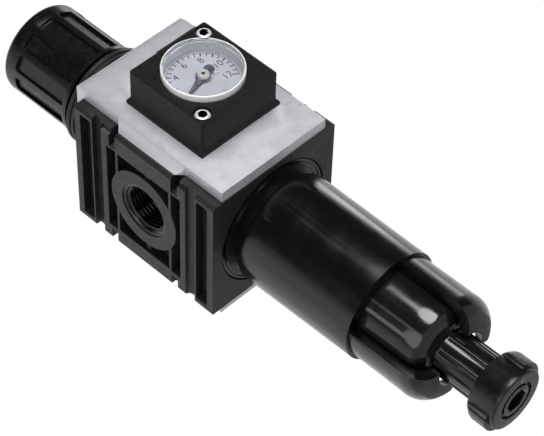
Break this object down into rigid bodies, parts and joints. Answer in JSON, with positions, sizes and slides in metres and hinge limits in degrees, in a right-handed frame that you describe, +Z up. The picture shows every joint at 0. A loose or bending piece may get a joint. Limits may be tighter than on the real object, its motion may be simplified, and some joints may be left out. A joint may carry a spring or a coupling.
{
  "type": "compressed air filter regulator",
  "caption": "Modular compressed air filter-regulator: grooved block with ports on one axis, square gauge, grip knob above, guarded filter bowl with twist drain below.",
  "frame": {"origin": "on the axis of the two ports, midway between the port faces", "axes": "+X along the ports towards the outlet, -Y towards the gauge, +Z up towards the adjusting knob"},
  "size_m": [0.052, 0.0709, 0.2052],
  "materials": {
    "body_plastic": "fine-grained matte black glass-filled polyamide",
    "knob_plastic": "satin black moulded polyamide",
    "drain_plastic": "satin black moulded polyamide",
    "guard_plastic": "glossy black moulded polyamide",
    "bowl_plastic": "smoked glossy polyamide, nearly black",
    "cover_paint": "satin silver-grey paint with fine grain",
    "gauge_plastic": "fine-grained matte black plastic",
    "gauge_glass": "clear moulded polycarbonate",
    "dial_face": "matte light grey printed dial",
    "pointer_paint": "satin dark grey paint",
    "hub_plastic": "white moulded plastic",
    "screw_steel": "bright zinc-plated steel",
    "shaft_steel": "turned steel",
    "spring_steel": "drawn spring wire",
    "insert_metal": "die-cast zinc, bright on the chamfer",
    "inner_metal": "turned aluminium",
    "brass": "turned brass",
    "seal_rubber": "black nitrile rubber",
    "inner_plastic": "dark grey acetal",
    "filter_media": "white sintered polyethylene"
  },
  "bodies": {
    "body": {"housing": "body_plastic", "inlet_port_insert": "insert_metal", "outlet_port_insert": "insert_metal", "front_cover": "cover_paint", "rear_cover": "cover_paint", "bonnet": "body_plastic", "bonnet_screws": "screw_steel", "diaphragm": "seal_rubber", "control_spring": "spring_steel", "valve_seat": "brass", "valve_spring": "spring_steel", "valve_guide": "inner_plastic", "guide_seal": "seal_rubber", "deflector": "inner_plastic", "filter_element": "filter_media", "filter_retainer": "inner_plastic", "gauge_housing": "gauge_plastic", "gauge_screws": "screw_steel", "gauge_lens": "gauge_glass", "gauge_dial": "dial_face", "gauge_dial_screw": "screw_steel", "gauge_movement": "brass", "gauge_bourdon_tube": "brass", "gauge_socket": "brass", "gauge_seal": "seal_rubber"},
    "spindle": {"adjusting_spindle": "shaft_steel", "spindle_retaining_ring": "shaft_steel"},
    "knob": {"adjusting_knob": "knob_plastic"},
    "nut": {"spring_nut": "brass"},
    "diaphragm_stack": {"diaphragm_plate": "inner_metal", "relief_seat": "brass"},
    "valve": {"valve_poppet": "brass", "valve_disc": "seal_rubber"},
    "pointer": {"gauge_pointer": "pointer_paint", "gauge_pointer_hub": "hub_plastic", "gauge_arbor": "shaft_steel"},
    "bowl_unit": {"bowl": "bowl_plastic", "bowl_seal": "seal_rubber", "bowl_guard": "guard_plastic"},
    "drain_knob_body": {"drain_knob": "drain_plastic"},
    "drain_stem_body": {"drain_stem": "inner_plastic", "drain_seal": "seal_rubber"}
  },
  "joints": [
    {"name": "spindle_turn", "type": "hinge", "parent": "body", "child": "spindle", "pos_m": [0, 0, 0.06], "axis": [0, 0, -1], "range_deg": [0, 1800]},
    {"name": "knob_lock", "type": "slide", "parent": "spindle", "child": "knob", "axis": [0, 0, 1], "range_m": [-0.003, 0]},
    {"name": "nut_travel", "type": "slide", "parent": "body", "child": "nut", "axis": [0, 0, -1], "range_m": [0, 0.0075], "deforming": ["control_spring"]},
    {"name": "diaphragm_travel", "type": "slide", "parent": "body", "child": "diaphragm_stack", "axis": [0, 0, -1], "range_m": [0, 0.0012], "stiffness_N_per_m": 300, "deforming": ["diaphragm"]},
    {"name": "valve_travel", "type": "slide", "parent": "body", "child": "valve", "axis": [0, 0, -1], "range_m": [0, 0.0012], "deforming": ["valve_spring"]},
    {"name": "pointer_turn", "type": "hinge", "parent": "body", "child": "pointer", "pos_m": [0, -0.0395, 0.0004], "axis": [0, 1, 0], "range_deg": [0, 230], "stiffness_Nm_per_rad": 0.00005},
    {"name": "bowl_turn", "type": "hinge", "parent": "body", "child": "bowl_unit", "pos_m": [0, 0, -0.0168], "axis": [0, 0, -1], "range_deg": [0, 45]},
    {"name": "drain_turn", "type": "hinge", "parent": "bowl_unit", "child": "drain_knob_body", "pos_m": [0, 0, -0.122], "axis": [0, 0, -1], "range_deg": [0, 180]},
    {"name": "drain_travel", "type": "slide", "parent": "bowl_unit", "child": "drain_stem_body", "axis": [0, 0, 1], "range_m": [0, 0.00075]}
  ],
  "couplings": [
    {"joint": "nut_travel", "follows": "spindle_turn", "m_per_rad": 0.00023873},
    {"joint": "valve_travel", "follows": "diaphragm_travel", "ratio": 1},
    {"joint": "drain_travel", "follows": "drain_turn", "m_per_rad": 0.00023873}
  ]
}
